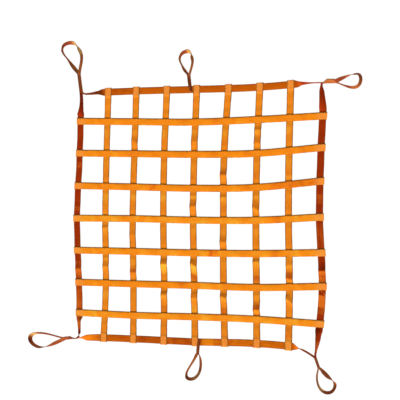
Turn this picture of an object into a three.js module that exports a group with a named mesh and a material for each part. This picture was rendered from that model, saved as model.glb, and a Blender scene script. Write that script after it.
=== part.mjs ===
// Cargo lifting net of sewn webbing, laid out on a floor.
// Millimetres. +X runs across the net to the right, +Y up the net and +Z up from the floor.
// The origin is on the floor, in the middle of the even grid of straps.
import * as THREE from 'three';

// Webbing
const WEB_WIDTH = 50;
const WEB_THICK = 2.5;
const SEWN_GAP = 0.3;
const HALF_WIDTH = WEB_WIDTH / 2;
const LAYER = WEB_THICK + SEWN_GAP;

// Net: seven straps each way inside the border, one pitch apart, with a shorter last row of meshes
const STRAP_COUNT = 7;
const PITCH = 225;
const HALF_NET = 4 * PITCH;
const LAST_ROW = 170;
const BOTTOM_LINE = 3 * PITCH + LAST_ROW;

// Sewn places: a flat stretch at each crossing, and strap ends that turn round the border
const SEWN_HALF = 31;
const TAIL = 60;
const TURN_CLEARANCE = 1.5;
const TURN_STEPS = 4;
const STEP_CLEARANCE = 4;
const STEP_RUN = 16;
const CROSSING_PASSES = 4;

// Free stretches between two sewn places
const SAG = 0.7;
const SLACK = 2.5;

// Corners: the border turns onto its edge and goes on as one leg of the eye
const EDGE_TURN_STEPS = 10;
const LEG_OFFSET = LAYER / 2;
const ON_EDGE = 90;
const INNER_UP = 1;
const OUTER_UP = -1;
const ON_EDGE_BY = 0.9;

// Eyes
const LOOP_STEPS = 30;
const LEAN_STEPS = 12;
const STEM_STEPS = 10;
const TILT_FROM = 0.1;
const TILT_BY = 0.4;
const LEGS_APART_BY = 0.25;
const MIDDLE_EYE_LANDING = 100;

// How far each line lies off the even grid, at five places along it:
// from the top down for long straps and side borders, from the left for the others.
const DRIFT_PLACES = [-HALF_NET, -HALF_NET / 2, 0, HALF_NET / 2, HALF_NET];
const LONG_STRAPS = [
  { name: 'long_strap_1', line: -3 * PITCH, drift: [21, 6, -3, 1, -18] },
  { name: 'long_strap_2', line: -2 * PITCH, drift: [14, -2, -15, -9, -10] },
  { name: 'long_strap_3', line: -PITCH, drift: [22, 1, -6, 1, -3] },
  { name: 'long_strap_4', line: 0, drift: [20, 0, -8, 0, 7] },
  { name: 'long_strap_5', line: PITCH, drift: [27, -6, -12, -11, 0] },
  { name: 'long_strap_6', line: 2 * PITCH, drift: [25, 4, -4, 0, 3] },
  { name: 'long_strap_7', line: 3 * PITCH, drift: [15, 3, -1, 6, -2] },
];
const CROSS_STRAPS = [
  { name: 'cross_strap_1', line: 3 * PITCH, drift: [28, 10, -7, -5, 4] },
  { name: 'cross_strap_2', line: 2 * PITCH, drift: [24, 10, -4, -7, 22] },
  { name: 'cross_strap_3', line: PITCH, drift: [16, 2, -12, -11, 26] },
  { name: 'cross_strap_4', line: 0, drift: [8, 4, -6, -7, 14] },
  { name: 'cross_strap_5', line: -PITCH, drift: [3, -1, -6, -6, 5] },
  { name: 'cross_strap_6', line: -2 * PITCH, drift: [-1, -4, -5, -9, 8] },
  { name: 'cross_strap_7', line: -3 * PITCH, drift: [6, 0, 4, 2, -14] },
];
const BORDERS = {
  top: { name: 'border_top', line: HALF_NET, drift: [2, 0, -8, -13, 4] },
  right: { name: 'border_right', line: HALF_NET, drift: [22, -3, -13, 6, -33] },
  bottom: { name: 'border_bottom', line: -BOTTOM_LINE, drift: [2, 4, 2, 9, -10] },
  left: { name: 'border_left', line: -HALF_NET, drift: [32, 18, -3, 13, 21] },
};

// How each border end turns onto its edge, clockwise round the net: which edge comes up; the roll in degrees
// at each fifth of the turn, which ends a little before the foot; and how far its curve keeps to the line of
// the border (lead), swings to the left of that line (swing) and keeps to the line of the stem (follow).
const BORDER_ENDS = {
  top: {
    start: { up: INNER_UP, roll: [46, 56, 64, 71, 90], lead: 75, swing: 0, follow: 50 },
    end: { up: OUTER_UP, roll: [58, 76, 86, 90, 90], lead: 60, swing: 0, follow: 40 },
  },
  right: {
    start: { up: INNER_UP, roll: [26, 45, 56, 66, 90], lead: 90, swing: 0, follow: 14 },
    end: { up: INNER_UP, roll: [48, 60, 73, 86, 90], lead: 120, swing: 12, follow: 30 },
  },
  bottom: {
    start: { up: INNER_UP, roll: [56, 85, 90, 90, 90], lead: 30, swing: 16, follow: 8 },
    end: { up: INNER_UP, roll: [12, 18, 30, 64, 90], lead: 60, swing: 0, follow: 40 },
  },
  left: {
    start: { up: INNER_UP, roll: [31, 37, 42, 46, 90], lead: 60, swing: 0, follow: 36 },
    end: { up: OUTER_UP, roll: [62, 80, 87, 90, 90], lead: 60, swing: -24, follow: 40 },
  },
};

// Packing creases that stand up between two sewn places: the cell counted from the top or the left,
// how far along the cell the ridge is, its rise, and the sideways tilt of the webbing there in degrees.
const CREASES = [
  { strap: 'long_strap_1', cell: 6, at: 0.5, rise: 7, tilt: 0 },
  { strap: 'long_strap_3', cell: 6, at: 0.3, rise: 11, tilt: 0 },
  { strap: 'long_strap_4', cell: 4, at: 0.64, rise: 9, tilt: 0 },
  { strap: 'long_strap_4', cell: 6, at: 0.35, rise: 12, tilt: 12 },
  { strap: 'long_strap_4', cell: 7, at: 0.36, rise: 8, tilt: 0 },
  { strap: 'long_strap_5', cell: 3, at: 0.73, rise: 10, tilt: 0 },
  { strap: 'long_strap_5', cell: 5, at: 0.76, rise: 8, tilt: 0 },
  { strap: 'long_strap_5', cell: 7, at: 0.31, rise: 9, tilt: 8 },
  { strap: 'long_strap_6', cell: 4, at: 0.76, rise: 9, tilt: 10 },
  { strap: 'long_strap_6', cell: 6, at: 0.15, rise: 8, tilt: -6 },
  { strap: 'long_strap_6', cell: 7, at: 0.79, rise: 9, tilt: 0 },
  { strap: 'long_strap_7', cell: 6, at: 0.85, rise: 7, tilt: 0 },
  { strap: 'long_strap_7', cell: 7, at: 0.4, rise: 9, tilt: 8 },
  { strap: 'cross_strap_3', cell: 3, at: 0.6, rise: 8, tilt: 0 },
  { strap: 'cross_strap_3', cell: 8, at: 0.3, rise: 9, tilt: -8 },
  { strap: 'cross_strap_5', cell: 5, at: 0.65, rise: 7, tilt: 0 },
  { strap: 'border_right', cell: 6, at: 0.55, rise: 11, tilt: 0 },
  { strap: 'border_left', cell: 6, at: 0.6, rise: 8, tilt: 0 },
];

// Eyes: where the stem starts, its heading in degrees from +X and its length; the length and width of the
// teardrop, the power that shapes its sides (higher is slimmer near the stem), and how far its crown sways to
// the left of the heading; how far the sewn legs tilt to the left where the teardrop opens, in degrees; and
// how far the webbing leans outward from upright, in degrees, at each twelfth of a turn from the left leg
// round the crown to the right leg.
const CORNER_EYES = {
  topLeft: { name: 'eye_top_left', x: -860, y: 922, heading: 98, stem: 116, length: 230, width: 136,
    power: 2, sway: 68, tilt: 0, lean: [10, 16, -3, -6, -13, 11, 27, -7, 3, 5, 4] },
  topRight: { name: 'eye_top_right', x: 912, y: 894, heading: -1.5, stem: 84, length: 176, width: 100,
    power: 2, sway: 20, tilt: 26, lean: [20, 18, 0, -20, -16, -12, -10, -15, -14, -8, -12] },
  bottomRight: { name: 'eye_bottom_right', x: 865, y: -912, heading: 290, stem: 66, length: 166, width: 94,
    power: 0.9, sway: 10, tilt: 0, lean: [-3, -16, -8, 36, 30, 20, 8, 0, -3, -2, -3] },
  bottomLeft: { name: 'eye_bottom_left', x: -897, y: -852, heading: 189, stem: 97, length: 276, width: 92,
    power: 1.3, sway: -36, tilt: -25, lean: [-22, -24, -8, 8, 5, 6, 16, 20, 24, 24, 24] },
};
const MIDDLE_EYES = [
  { name: 'eye_top_middle', x: -12, y: 874, heading: 99, stem: 112, length: 162, width: 94,
    power: 1.8, sway: 8, tilt: 4, lean: [4, 9, -3, -5, -4, 14, 28, -4, 4, 6, 4] },
  { name: 'eye_bottom_middle', x: 48, y: -818, heading: 262, stem: 98, length: 182, width: 68,
    power: 2, sway: -42, tilt: 0, lean: [26, 38, 40, 36, 28, 12, -3, -2, 0, 4, 6] },
];

// Webbing colours
const CROSS_WEB = new THREE.MeshStandardMaterial({ color: 0xf78a14, roughness: 0.75, metalness: 0 });
const LONG_WEB = new THREE.MeshStandardMaterial({ color: 0xea7814, roughness: 0.75, metalness: 0 });
const BORDER_WEB = new THREE.MeshStandardMaterial({ color: 0xa83a12, roughness: 0.78, metalness: 0 });
const EYE_WEB = new THREE.MeshStandardMaterial({ color: 0x8f3414, roughness: 0.78, metalness: 0 });

// Smooth curve through values given at a few places
function smoothCurve(places, values) {
  const curve = new THREE.CubicInterpolant(places, values, 1);
  return (place) => curve.evaluate(place)[0];
}

for (const row of [...LONG_STRAPS, ...CROSS_STRAPS, ...Object.values(BORDERS)]) {
  const drift = smoothCurve(DRIFT_PLACES, row.drift);
  row.lineAt = (travel) => row.line + drift(travel);
}

// Travel along a long line runs down the net, and along a cross line to the right.
const longPlace = (row, travel) => new THREE.Vector3(row.lineAt(travel), -travel, 0);
const crossPlace = (row, travel) => new THREE.Vector3(travel, row.lineAt(travel), 0);

// The way a line runs at a place on it
function directionAt(row, place, travel) {
  return place(row, travel + 1).sub(place(row, travel - 1)).normalize();
}

// Horizontal unit vector at a heading in degrees
function along(heading) {
  const angle = THREE.MathUtils.degToRad(heading);
  return new THREE.Vector3(Math.cos(angle), Math.sin(angle), 0);
}

// The left-hand side of a horizontal direction
const leftOf = (direction) => new THREE.Vector3(-direction.y, direction.x, 0).normalize();

// Height of the middle of the webbing when its lowest edge is at the lift and it is rolled by an angle
function middleHeight(lift, roll) {
  const angle = THREE.MathUtils.degToRad(roll);
  return lift + HALF_WIDTH * Math.abs(Math.sin(angle)) + (WEB_THICK / 2) * Math.abs(Math.cos(angle));
}

// A closed strip of webbing along stations. Each station has its middle point, its roll in degrees about the
// way it runs, and for folded ends the left-hand side, which stays the same where the strip doubles back.
// A returning station is on a stretch that runs back beside another stretch of the same strip.
function webbing(name, stations, material) {
  const positions = [];
  const last = stations.length - 1;
  stations.forEach((station, k) => {
    const before = stations[Math.max(k - 1, 0)].point;
    const after = stations[Math.min(k + 1, last)].point;
    const arrive = station.point.clone().sub(before).normalize();
    const leave = after.clone().sub(station.point).normalize();
    const tangent = arrive.clone().add(leave).normalize();
    const mitre = 1 / Math.max(tangent.dot(arrive), tangent.dot(leave));
    const left = station.left ?? leftOf(tangent);
    const up = tangent.clone().cross(left).normalize();
    const roll = THREE.MathUtils.degToRad(station.roll);
    const across = left.clone().multiplyScalar(Math.cos(roll)).addScaledVector(up, -Math.sin(roll));
    const face = up.clone().multiplyScalar(Math.cos(roll)).addScaledVector(left, Math.sin(roll));
    across.multiplyScalar(HALF_WIDTH);
    face.multiplyScalar((WEB_THICK / 2) * mitre);
    for (const [side, height] of [[1, 1], [-1, 1], [-1, -1], [1, -1]]) {
      const corner = station.point.clone().addScaledVector(across, side).addScaledVector(face, height);
      positions.push(corner.x, corner.y, corner.z);
    }
  });
  // Opposite faces are split along the same diagonal, so that a twisted strip keeps its thickness, and
  // a returning stretch along the other one, so that it keeps its distance from the stretch beside it.
  const triangles = [0, 3, 2, 0, 2, 1];
  for (let k = 0; k < last; k += 1) {
    for (let side = 0; side < 4; side += 1) {
      const next = (side + 1) % 4;
      const [a, b, c, d] = [4 * k + side, 4 * k + next, 4 * k + 4 + next, 4 * k + 4 + side];
      const rising = side < 2 !== Boolean(stations[k].returning);
      triangles.push(...(rising ? [a, b, c, a, c, d] : [a, b, d, b, c, d]));
    }
  }
  const end = 4 * last;
  triangles.push(end, end + 1, end + 2, end, end + 2, end + 3);
  const geometry = new THREE.BufferGeometry();
  geometry.setAttribute('position', new THREE.Float32BufferAttribute(positions, 3));
  geometry.setIndex(triangles);
  geometry.computeVertexNormals();
  const mesh = new THREE.Mesh(geometry, material);
  mesh.name = name;
  return mesh;
}

// Ridges of one free stretch, as steps of travel, lift and roll. A stretch with no crease has one low rise.
function freeSteps(row, cell, from, to, plainLift) {
  const creases = CREASES.filter((crease) => crease.strap === row.name && crease.cell === cell);
  if (creases.length === 0) {
    return [{ travel: (from + to) / 2, lift: plainLift, roll: 0 }];
  }
  return creases.map((crease) => ({
    travel: THREE.MathUtils.lerp(from, to, crease.at),
    lift: crease.rise - HALF_WIDTH * Math.abs(Math.sin(THREE.MathUtils.degToRad(crease.tilt))),
    roll: crease.tilt,
  }));
}

// A strap end from its sewn-back tail to the webbing that lies on the tail, for a border on the low-travel
// side (side -1) or the high-travel side (side 1): under the border, round its outer edge and over it.
// The fold runs along the border, which is given as the border's travel and its direction.
function endSteps(border, side, upperLift) {
  const turn = border.travel + side * (HALF_WIDTH + TURN_CLEARANCE);
  const inner = border.travel - side * (HALF_WIDTH + STEP_CLEARANCE);
  const tailEnd = border.travel - side * (HALF_WIDTH + TAIL);
  const left = border.direction;
  const steps = [{ travel: tailEnd, lift: 0 }];
  for (let k = 0; k <= TURN_STEPS; k += 1) {
    const angle = (Math.PI * k) / TURN_STEPS;
    steps.push({ travel: turn + side * LAYER * Math.sin(angle), lift: LAYER * (1 - Math.cos(angle)), left });
  }
  steps.push({ travel: inner, lift: 2 * LAYER, left });
  steps.push({ travel: inner - side * STEP_RUN, lift: LAYER });
  steps.push({ travel: tailEnd - side * STEP_CLEARANCE, lift: LAYER });
  if (upperLift < LAYER) {
    steps.push({ travel: tailEnd - side * (STEP_CLEARANCE + STEP_RUN), lift: upperLift });
  }
  return steps.map((step) => ({ ...step, roll: 0 }));
}

// A long or cross strap: both sewn-back ends, a flat place at each crossing, and free stretches between
function strap(row, place, crossings, ends, sewnLift, material) {
  const plainLift = (cell) => (sewnLift > 0 ? SAG : SLACK * (0.5 + 0.5 * Math.sin(row.line + 2 * cell)));
  const steps = endSteps(ends[0], -1, sewnLift);
  crossings.forEach((crossing, k) => {
    const from = steps[steps.length - 1].travel;
    const start = crossing - SEWN_HALF;
    steps.push(...freeSteps(row, k + 1, from, start, plainLift(k + 1)));
    steps.push({ travel: start, lift: sewnLift, roll: 0 });
    steps.push({ travel: crossing + SEWN_HALF, lift: sewnLift, roll: 0 });
  });
  const ending = endSteps(ends[1], 1, sewnLift).reverse();
  const from = steps[steps.length - 1].travel;
  steps.push(...freeSteps(row, STRAP_COUNT + 1, from, ending[0].travel, plainLift(STRAP_COUNT + 1)));
  steps.push(...ending);
  const stations = steps.map((step) => {
    const { travel, lift, roll } = step;
    const left = step.left ?? leftOf(directionAt(row, place, travel));
    return { point: place(row, travel).setZ(middleHeight(lift, roll)), left, roll };
  });
  return webbing(row.name, stations, material);
}

// Where a long line and a cross line meet
function crossing(longRow, crossRow) {
  let x = longRow.line;
  let y = crossRow.line;
  for (let pass = 0; pass < CROSSING_PASSES; pass += 1) {
    x = longRow.lineAt(-y);
    y = crossRow.lineAt(x);
  }
  return { longTravel: -y, crossTravel: x };
}

function longStrap(row) {
  const crossings = CROSS_STRAPS.map((other) => crossing(row, other).longTravel);
  const ends = [BORDERS.top, BORDERS.bottom].map((border) => {
    const { longTravel, crossTravel } = crossing(row, border);
    return { travel: longTravel, direction: directionAt(border, crossPlace, crossTravel) };
  });
  return strap(row, longPlace, crossings, ends, 0, LONG_WEB);
}

function crossStrap(row) {
  const crossings = LONG_STRAPS.map((other) => crossing(other, row).crossTravel);
  const ends = [BORDERS.left, BORDERS.right].map((border) => {
    const { longTravel, crossTravel } = crossing(border, row);
    return { travel: crossTravel, direction: directionAt(border, longPlace, longTravel).negate() };
  });
  return strap(row, crossPlace, crossings, ends, LAYER, CROSS_WEB);
}

// The flat run of a border through the turned-round strap ends, as stations from the top or the left
function flatRun(row, place, sewnTravels) {
  const steps = [];
  sewnTravels.forEach((sewn, k) => {
    if (k > 0) {
      const from = steps[steps.length - 1].travel;
      steps.push(...freeSteps(row, k + 1, from, sewn - SEWN_HALF, 0));
    }
    steps.push({ travel: sewn - SEWN_HALF, lift: LAYER, roll: 0 });
    steps.push({ travel: sewn + SEWN_HALF, lift: LAYER, roll: 0 });
  });
  return steps.map(({ travel, lift, roll }) => ({
    point: place(row, travel).setZ(middleHeight(lift, roll)),
    roll,
  }));
}

// The stretch from the end of a flat run to the foot of an eye's stem, which turns onto its edge on the way.
// Side 1 is the left-hand side of the stem, and side -1 the right-hand side.
function edgeTurn(eyeRow, side, runEnd, runDirection, turn) {
  const heading = along(eyeRow.heading);
  const foot = new THREE.Vector3(eyeRow.x, eyeRow.y, 0);
  const stemStart = foot.addScaledVector(leftOf(heading), side * LEG_OFFSET);
  const start = runEnd.clone().setZ(0);
  const curve = new THREE.CubicBezierCurve3(
    start,
    start.clone().addScaledVector(runDirection, turn.lead).addScaledVector(leftOf(runDirection), turn.swing),
    stemStart.clone().addScaledVector(heading, -turn.follow),
    stemStart,
  );
  const rollPlaces = [0, ...turn.roll].map((roll, k) => k / turn.roll.length);
  const rollAt = smoothCurve(rollPlaces, [0, ...turn.roll]);
  const stations = [];
  for (let k = 1; k <= EDGE_TURN_STEPS; k += 1) {
    const share = k / EDGE_TURN_STEPS;
    const turned = Math.min(rollAt(Math.min(share / ON_EDGE_BY, 1)), ON_EDGE);
    const lift = LAYER * (1 - turned / ON_EDGE);
    const roll = turn.up * turned;
    stations.push({ point: curve.getPointAt(share).setZ(middleHeight(lift, roll)), roll });
  }
  stations[EDGE_TURN_STEPS - 1].left = leftOf(heading).multiplyScalar(side);
  return stations;
}

// A border strap, clockwise round the net, from the right-hand leg of an eye to the left-hand leg of the next
function border(row, ends, run, firstEye, lastEye) {
  const first = run[0].point;
  const final = run[run.length - 1].point;
  const backward = first.clone().sub(run[1].point).setZ(0).normalize();
  const forward = final.clone().sub(run[run.length - 2].point).setZ(0).normalize();
  const starting = edgeTurn(firstEye, -1, first, backward, ends.start);
  const ending = edgeTurn(lastEye, 1, final, forward, ends.end);
  return webbing(row.name, [...starting.reverse(), ...run, ...ending], BORDER_WEB);
}

function borders() {
  const topRun = flatRun(BORDERS.top, crossPlace,
    LONG_STRAPS.map((row) => crossing(row, BORDERS.top).crossTravel));
  const rightRun = flatRun(BORDERS.right, longPlace,
    CROSS_STRAPS.map((row) => crossing(BORDERS.right, row).longTravel));
  const bottomRun = flatRun(BORDERS.bottom, crossPlace,
    LONG_STRAPS.map((row) => crossing(row, BORDERS.bottom).crossTravel));
  const leftRun = flatRun(BORDERS.left, longPlace,
    CROSS_STRAPS.map((row) => crossing(BORDERS.left, row).longTravel));
  const { topLeft, topRight, bottomRight, bottomLeft } = CORNER_EYES;
  return [
    border(BORDERS.top, BORDER_ENDS.top, topRun, topLeft, topRight),
    border(BORDERS.right, BORDER_ENDS.right, rightRun, topRight, bottomRight),
    border(BORDERS.bottom, BORDER_ENDS.bottom, bottomRun.reverse(), bottomRight, bottomLeft),
    border(BORDERS.left, BORDER_ENDS.left, leftRun.reverse(), bottomLeft, topLeft),
  ];
}

// An eye: up the left leg of the stem, clockwise round the teardrop and down the right leg, all on edge.
// The teardrop is sin(a) sin(a/2)^power wide over a length that goes as sin(a/2)^2.
// Where the sewn legs tilt, one of them lies on the other and is raised by their shared tilt.
function eye(row, stemPlaces, liftAt) {
  const heading = along(row.heading);
  const left = leftOf(heading);
  const foot = new THREE.Vector3(row.x, row.y, 0);
  const widest = 2 * Math.acos(1 / Math.sqrt(row.power + 2));
  const teardrop = (angle) => Math.sin(angle) * Math.sin(angle / 2) ** row.power;
  const leanPlaces = Array.from({ length: LEAN_STEPS + 1 }, (_, k) => (2 * Math.PI * k) / LEAN_STEPS);
  const leanAt = smoothCurve(leanPlaces, [row.tilt, ...row.lean, -row.tilt]);
  const tiltAt = (forward) => row.tilt * THREE.MathUtils.smoothstep(forward / row.stem, TILT_FROM, TILT_BY);
  const apartFrom = row.stem + LEGS_APART_BY * row.length;
  const apart = (forward) => THREE.MathUtils.smoothstep(forward, row.stem, apartFrom);
  const edge = [];
  const addEdge = (forward, sideways, lean, side) => {
    const point = foot.clone().addScaledVector(heading, forward).addScaledVector(left, sideways);
    const tilt = THREE.MathUtils.degToRad(tiltAt(forward)) * (1 - apart(forward));
    const onOther = LAYER * Math.max(-side * Math.tan(tilt / 2), 0);
    edge.push({ point, lean, lift: liftAt(forward) + onOther, returning: side < 0 });
  };
  stemPlaces.forEach((forward) => addEdge(forward, LEG_OFFSET, tiltAt(forward), 1));
  for (let k = 0; k <= LOOP_STEPS; k += 1) {
    const angle = (2 * Math.PI * k) / LOOP_STEPS;
    const share = Math.sin(angle / 2) ** 2;
    const sideways = (row.width / 2) * (teardrop(angle) / teardrop(widest)) + row.sway * share ** 2;
    const legged = sideways + LEG_OFFSET * Math.cos(angle / 2);
    addEdge(row.stem + row.length * share, legged, leanAt(angle), angle < Math.PI ? 1 : -1);
  }
  stemPlaces.toReversed().forEach((forward) => addEdge(forward, -LEG_OFFSET, -tiltAt(forward), -1));
  const stations = edge.map(({ point, lean, lift, returning }, k) => {
    const before = edge[Math.max(k - 1, 0)].point;
    const after = edge[Math.min(k + 1, edge.length - 1)].point;
    const outward = leftOf(after.clone().sub(before));
    const leanReach = HALF_WIDTH * Math.sin(THREE.MathUtils.degToRad(lean));
    const middle = point.clone().addScaledVector(outward, leanReach);
    const roll = ON_EDGE + lean;
    return { point: middle.setZ(middleHeight(lift, roll)), roll, returning };
  });
  return webbing(row.name, stations, EYE_WEB);
}

function cornerEye(row) {
  const stemPlaces = Array.from({ length: STEM_STEPS }, (_, k) => (k * row.stem) / STEM_STEPS);
  stemPlaces[0] = SEWN_GAP;
  return eye(row, stemPlaces, () => 0);
}

// A middle eye stands on the border, and comes down to the floor past it.
function middleEye(row) {
  const pastBorder = WEB_WIDTH + STEP_CLEARANCE;
  const descent = (forward) => THREE.MathUtils.smoothstep(forward, pastBorder, MIDDLE_EYE_LANDING);
  return eye(row, [0, pastBorder], (forward) => 2 * LAYER * (1 - descent(forward)));
}

const net = new THREE.Group();
net.add(...LONG_STRAPS.map(longStrap));
net.add(...CROSS_STRAPS.map(crossStrap));
net.add(...borders());
net.add(...Object.values(CORNER_EYES).map(cornerEye));
net.add(...MIDDLE_EYES.map(middleEye));

export default net;
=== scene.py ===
# %% [markdown]
# # A cargo lifting net of sewn webbing
#
# The net is cut from flat webbing: seven long straps, seven cross straps sewn over them, a darker border,
# and six lifting eyes that stand on their edge. The imported frame holds each strap as a plain folded strip.
# This lesson makes the finer strips that stand for them: the same lines and layers, with round selvedges,
# soft packing creases, a weave and sewing thread. First the frame is loaded.

# %% Load the frame
import math
from types import SimpleNamespace

import bpy
import numpy as np
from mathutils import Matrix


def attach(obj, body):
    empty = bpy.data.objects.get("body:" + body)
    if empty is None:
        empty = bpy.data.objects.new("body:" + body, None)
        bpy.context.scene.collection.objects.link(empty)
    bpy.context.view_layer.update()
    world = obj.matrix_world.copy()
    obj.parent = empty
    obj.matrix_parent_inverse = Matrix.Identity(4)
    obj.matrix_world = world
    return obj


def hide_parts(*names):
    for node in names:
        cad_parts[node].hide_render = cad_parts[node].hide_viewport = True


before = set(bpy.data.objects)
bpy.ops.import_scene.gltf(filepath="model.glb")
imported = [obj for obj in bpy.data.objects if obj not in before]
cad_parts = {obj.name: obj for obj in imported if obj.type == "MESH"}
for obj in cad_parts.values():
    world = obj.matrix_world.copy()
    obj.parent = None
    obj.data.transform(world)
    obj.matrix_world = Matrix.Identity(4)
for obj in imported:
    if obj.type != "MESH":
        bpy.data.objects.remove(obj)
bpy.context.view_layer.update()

# %% [markdown]
# ## Camera
#
# The photographer stood over the right-hand half of the net and looked down, 21.5 degrees off the upright.
# A camera could be aimed with a constraint, but one turn about Y is all it takes here: the picture's right
# stays near +X and its top is +Y. The net lies below the middle of the picture, so the lens is shifted,
# which keeps the perspective that a turned camera would change.

# %% Camera at the photographer's place
IMAGE_SIDE = 400
SENSOR_WIDTH = 36.0
FOCAL_LENGTH = 99.45
CAMERA_TILT = math.radians(21.5)
CAMERA_DISTANCE = 7.6
ORIGIN_PIXEL = (194.3, 219.2)


def add_camera():
    """A camera on a circle in the XZ plane round the net's origin, its lens shifted so that the origin falls
    on its pixel of the picture."""
    lens = bpy.data.cameras.new("photo_camera")
    lens.sensor_width = SENSOR_WIDTH
    lens.lens = FOCAL_LENGTH
    lens.shift_x = 0.5 - ORIGIN_PIXEL[0] / IMAGE_SIDE
    lens.shift_y = ORIGIN_PIXEL[1] / IMAGE_SIDE - 0.5
    camera = bpy.data.objects.new("photo_camera", lens)
    camera.location = (CAMERA_DISTANCE * math.sin(CAMERA_TILT), 0, CAMERA_DISTANCE * math.cos(CAMERA_TILT))
    camera.rotation_euler = (0, CAMERA_TILT, 0)
    bpy.context.scene.collection.objects.link(camera)
    bpy.context.scene.camera = camera
    return camera


camera = add_camera()
print("camera at", np.round(camera.location, 3).tolist(), "shift", round(camera.data.shift_y, 4))

# %% [markdown]
# ## The lines of the net
#
# Every strap follows a line of an even grid, but a net that was thrown down never lies evenly: each line
# drifts some millimetres. Five drifts along each line are enough, with a smooth curve through them. The
# sizes are millimetres, as on a sewing plan, and become metres only when a mesh is made. They are the sizes
# of the frame's strips, so each new strip lies where the frame has it. A tone says how rubbed (up to 1) or
# soiled (down to -1) a strap is as a whole.

# %% Sizes of the webbing and lines of the straps
MM = 0.001
WEB_WIDTH = 50
WEB_THICK = 2.5
HALF_WIDTH = WEB_WIDTH / 2
LAYER_GAP = 0.3
LAYER = WEB_THICK + LAYER_GAP
PITCH = 225
HALF_NET = 4 * PITCH
LAST_MESH = 170
BOTTOM_LINE = 3 * PITCH + LAST_MESH
DRIFT_COUNT = 5
DRIFT_PLACES = np.linspace(-HALF_NET, HALF_NET, DRIFT_COUNT)
SIDES = ("top", "right", "bottom", "left")


def table(columns, *rows):
    """Rows of values under the named columns, so that row.column gives a value."""
    return [SimpleNamespace(**dict(zip(columns.split(), row))) for row in rows]


LONG_STRAPS = table(
    "name line drift tone",
    ("long_strap_1", -3 * PITCH, [21, 6, -3, 1, -18], 0.1),
    ("long_strap_2", -2 * PITCH, [14, -2, -15, -9, -10], 0.0),
    ("long_strap_3", -PITCH, [22, 1, -6, 1, -3], 0.05),
    ("long_strap_4", 0, [20, 0, -8, 0, 7], 0.0),
    ("long_strap_5", PITCH, [27, -6, -12, -11, 0], 0.0),
    ("long_strap_6", 2 * PITCH, [25, 4, -4, 0, 3], 0.0),
    ("long_strap_7", 3 * PITCH, [15, 3, -1, 6, -2], 0.05),
)
CROSS_STRAPS = table(
    "name line drift tone",
    ("cross_strap_1", 3 * PITCH, [28, 10, -7, -5, 4], 0.0),
    ("cross_strap_2", 2 * PITCH, [24, 10, -4, -7, 22], -0.05),
    ("cross_strap_3", PITCH, [16, 2, -12, -11, 26], 0.0),
    ("cross_strap_4", 0, [8, 4, -6, -7, 14], 0.35),
    ("cross_strap_5", -PITCH, [3, -1, -6, -6, 5], 0.2),
    ("cross_strap_6", -2 * PITCH, [-1, -4, -5, -9, 8], 0.0),
    ("cross_strap_7", -3 * PITCH, [6, 0, 4, 2, -14], 0.3),
)
BORDERS = dict(zip(SIDES, table(
    "name line drift tone",
    ("border_top", HALF_NET, [2, 0, -8, -13, 4], 0.0),
    ("border_right", HALF_NET, [22, -3, -13, 6, -33], -0.1),
    ("border_bottom", -BOTTOM_LINE, [2, 4, 2, 9, -10], 0.0),
    ("border_left", -HALF_NET, [32, 18, -3, 13, 21], 0.0),
)))
print(len(LONG_STRAPS), "long straps,", len(CROSS_STRAPS), "cross straps,", len(BORDERS), "borders")

# %% Curves through a few values
MEETING_ROUNDS = 4


def stretch_of(places, at):
    """Number of the stretch between two neighbouring places in which each value lies."""
    return np.clip(np.searchsorted(places, at, side="right") - 1, 0, len(places) - 2)


def smooth_curve(places, values, at):
    """A cubic through each value, with the slope between its two neighbours, held level past both ends."""
    places = np.asarray(places, float)
    values = np.asarray(values, float)
    slopes = np.gradient(values, places)
    at = np.clip(at, places[0], places[-1])
    k = stretch_of(places, at)
    span = places[k + 1] - places[k]
    t = (at - places[k]) / span
    start = (1 + 2 * t) * (1 - t) ** 2 * values[k] + t * (1 - t) ** 2 * span * slopes[k]
    end = t**2 * (3 - 2 * t) * values[k + 1] + t**2 * (t - 1) * span * slopes[k + 1]
    return start + end


def ease(x):
    """The S curve 3x^2 - 2x^3 from 0 to 1, level outside."""
    x = np.clip(x, 0, 1)
    return x * x * (3 - 2 * x)


def eased_curve(places, values, at):
    """S curves from each value to the next, so the curve is level at every place that is given."""
    places = np.asarray(places, float)
    values = np.asarray(values, float)
    k = stretch_of(places, at)
    return values[k] + (values[k + 1] - values[k]) * ease((at - places[k]) / (places[k + 1] - places[k]))


def drifted(row, travel):
    """The place of a line across its own way, with its drift."""
    return row.line + smooth_curve(DRIFT_PLACES, row.drift, travel)


def long_line(row, travel):
    """Points of a line that runs down the net, at travels measured from the middle."""
    travel = np.asarray(travel, float)
    return np.stack([drifted(row, travel), -travel], axis=-1)


def cross_line(row, travel):
    """Points of a line that runs to the right, at travels measured from the middle."""
    travel = np.asarray(travel, float)
    return np.stack([travel, drifted(row, travel)], axis=-1)


def unit(vectors):
    """Vectors of the same directions with length 1."""
    return vectors / np.linalg.norm(vectors, axis=-1, keepdims=True)


def direction(line, row, travel):
    """The way a line runs at some travels, from points 1 mm before and behind."""
    travel = np.asarray(travel, float)
    return unit(line(row, travel + 1) - line(row, travel - 1))


def crossing(long_row, cross_row):
    """Travel on the long line and on the cross line where they meet: each line in turn gives the other's
    place."""
    x, y = long_row.line, cross_row.line
    for _ in range(MEETING_ROUNDS):
        x = float(long_line(long_row, -y)[0])
        y = float(cross_line(cross_row, x)[1])
    return -y, x


print("middle crossing at travels", np.round(crossing(LONG_STRAPS[3], CROSS_STRAPS[3]), 1).tolist())

# %% [markdown]
# ## A strip of webbing
#
# Webbing is a flat woven band with two round selvedges. A plane with a thickness modifier would give square
# edges, so the section is drawn once, two flat faces joined by half circles, and carried along the strap's
# middle line. At each station the section has a left-hand side, a face direction and a roll about the line,
# and a raised field lifts the cloth along its face: that is where crown and creases go. Three things are
# kept for the finish: where a point lies across and along the webbing, how near it is to sewing, and its
# tone.

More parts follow.
